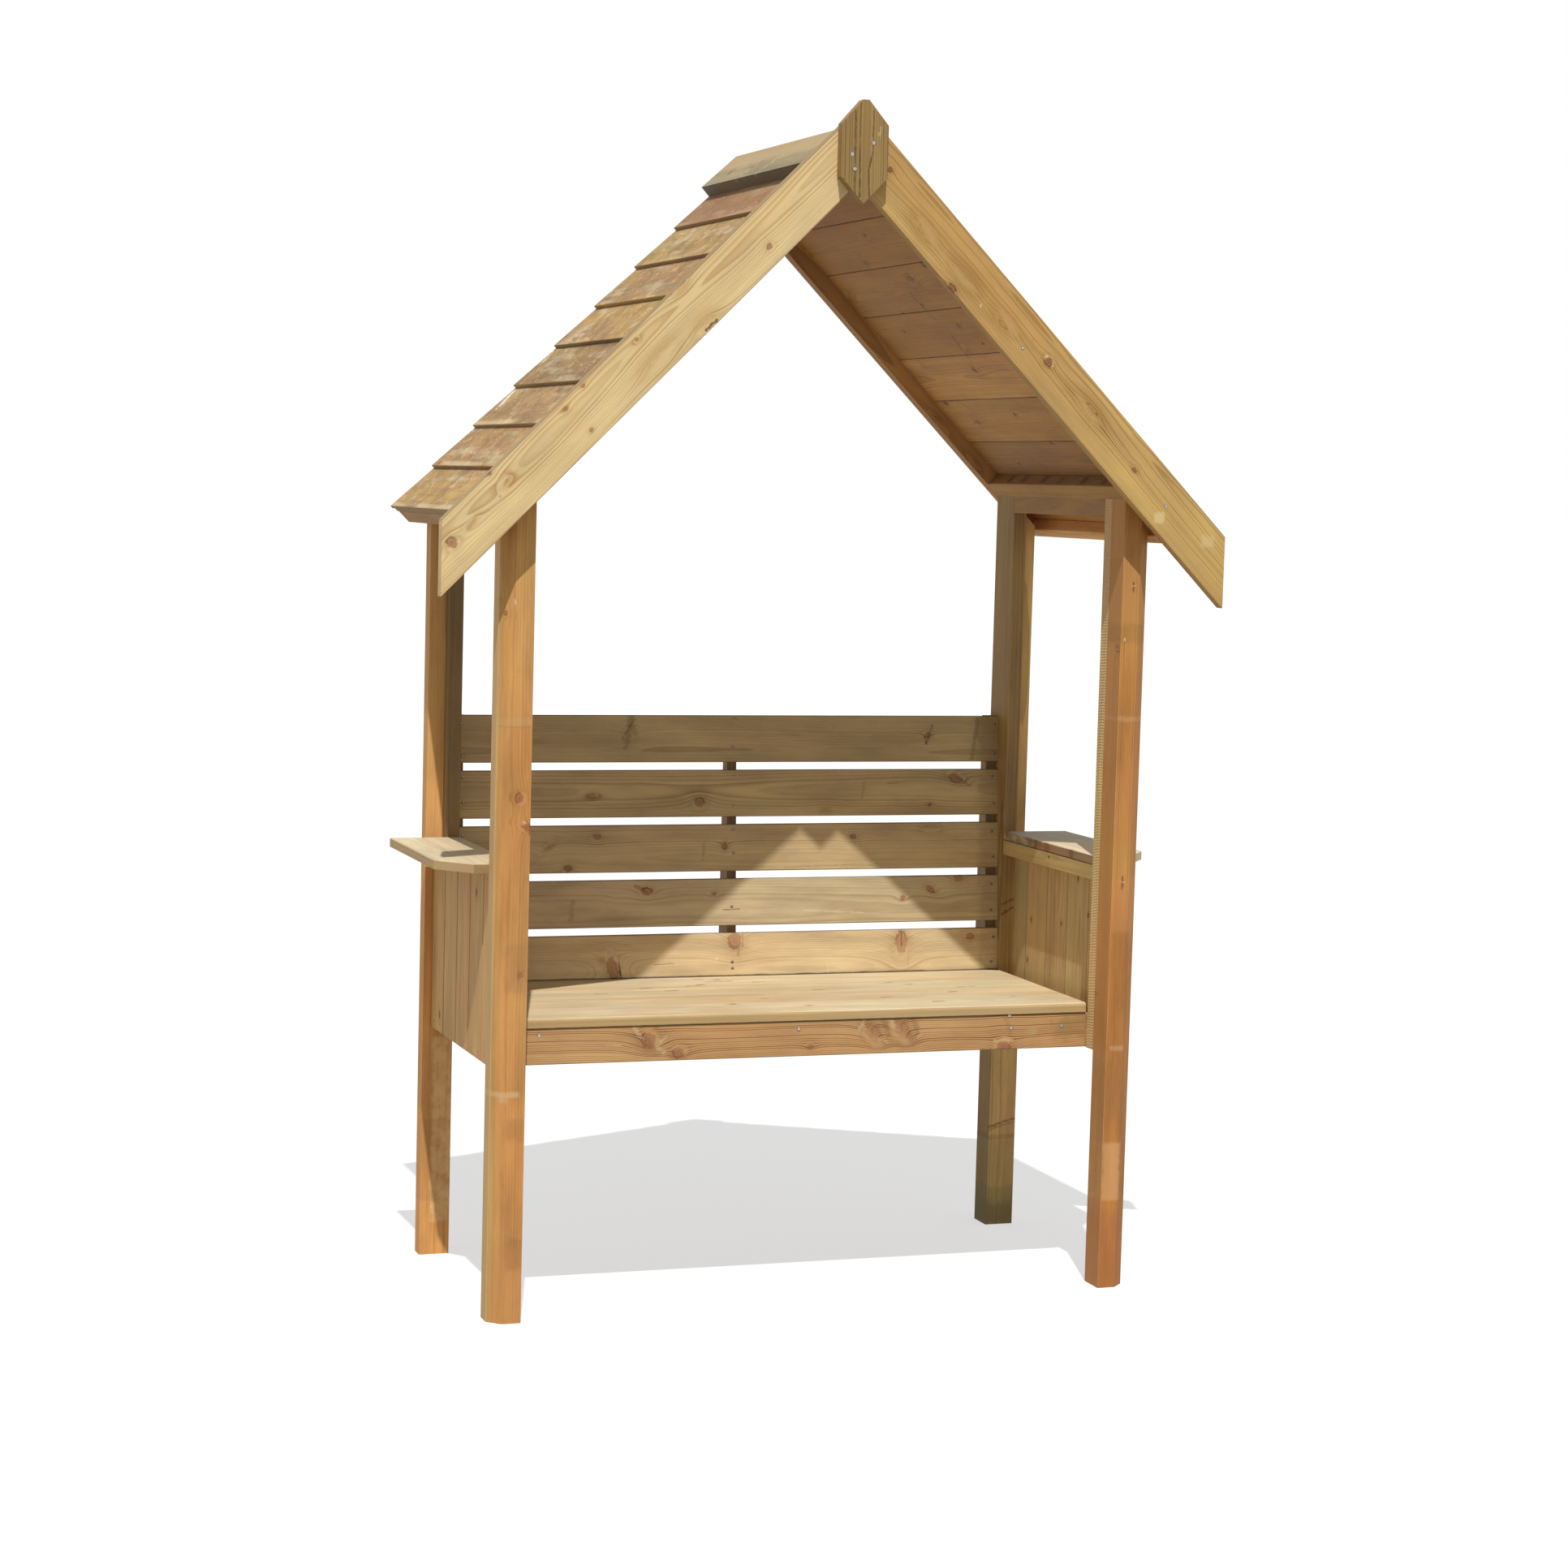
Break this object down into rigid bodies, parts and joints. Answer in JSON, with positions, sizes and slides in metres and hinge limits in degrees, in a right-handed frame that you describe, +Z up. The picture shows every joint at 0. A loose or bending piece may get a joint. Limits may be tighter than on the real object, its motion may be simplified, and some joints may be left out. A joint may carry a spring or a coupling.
{
  "type": "arbour seat",
  "caption": "Softwood garden arbour seat: open-fronted bench with slatted back, boarded sides with shelves, and a steep boarded gable roof with bargeboards and a pointed finial.",
  "frame": {"origin": "centre of the bounding box at ground level, on the soles of the posts", "axes": "+Z up, -Y is the open front, +X to the right of a person facing the seat"},
  "size_m": [1.4, 0.678, 2.048],
  "materials": {
    "roof_boarding": "sawn softwood",
    "bargeboards": "planed softwood",
    "finial": "planed softwood",
    "back_slats": "planed softwood",
    "seat_and_shelves": "planed softwood",
    "side_boarding": "planed softwood",
    "posts": "planed softwood",
    "framing": "planed softwood"
  },
  "bodies": {
    "root": {"back_batten_centre": "framing", "back_batten_left": "framing", "back_batten_right": "framing", "back_slat_1": "back_slats", "back_slat_2": "back_slats", "back_slat_3": "back_slats", "back_slat_4": "back_slats", "back_slat_5": "back_slats", "finial": "finial", "front_seat_rail": "framing", "left_arm_rail": "framing", "left_bargeboard": "bargeboards", "left_bottom_rail": "framing", "left_eaves_batten": "framing", "left_front_post": "posts", "left_front_rafter": "framing", "left_front_stile": "framing", "left_purlin": "framing", "left_rear_post": "posts", "left_rear_rafter": "framing", "left_rear_stile": "framing", "left_ridge_cap": "roof_boarding", "left_roof_boards": "roof_boarding", "left_shelf": "seat_and_shelves", "left_side_board_1": "side_boarding", "left_side_board_2": "side_boarding", "left_side_board_3": "side_boarding", "left_side_board_4": "side_boarding", "left_side_board_5": "side_boarding", "left_top_rail": "framing", "rear_seat_rail": "framing", "right_arm_rail": "framing", "right_bargeboard": "bargeboards", "right_bottom_rail": "framing", "right_eaves_batten": "framing", "right_front_post": "posts", "right_front_rafter": "framing", "right_front_stile": "framing", "right_purlin": "framing", "right_rear_post": "posts", "right_rear_rafter": "framing", "right_rear_stile": "framing", "right_ridge_cap": "roof_boarding", "right_roof_boards": "roof_boarding", "right_shelf": "seat_and_shelves", "right_side_board_1": "side_boarding", "right_side_board_2": "side_boarding", "right_side_board_3": "side_boarding", "right_side_board_4": "side_boarding", "right_side_board_5": "side_boarding", "right_top_rail": "framing", "seat_bearer_centre": "framing", "seat_bearer_left": "framing", "seat_bearer_right": "framing", "seat_board_1": "seat_and_shelves", "seat_board_2": "seat_and_shelves", "seat_board_3": "seat_and_shelves", "seat_board_4": "seat_and_shelves"}
  },
  "joints": []
}
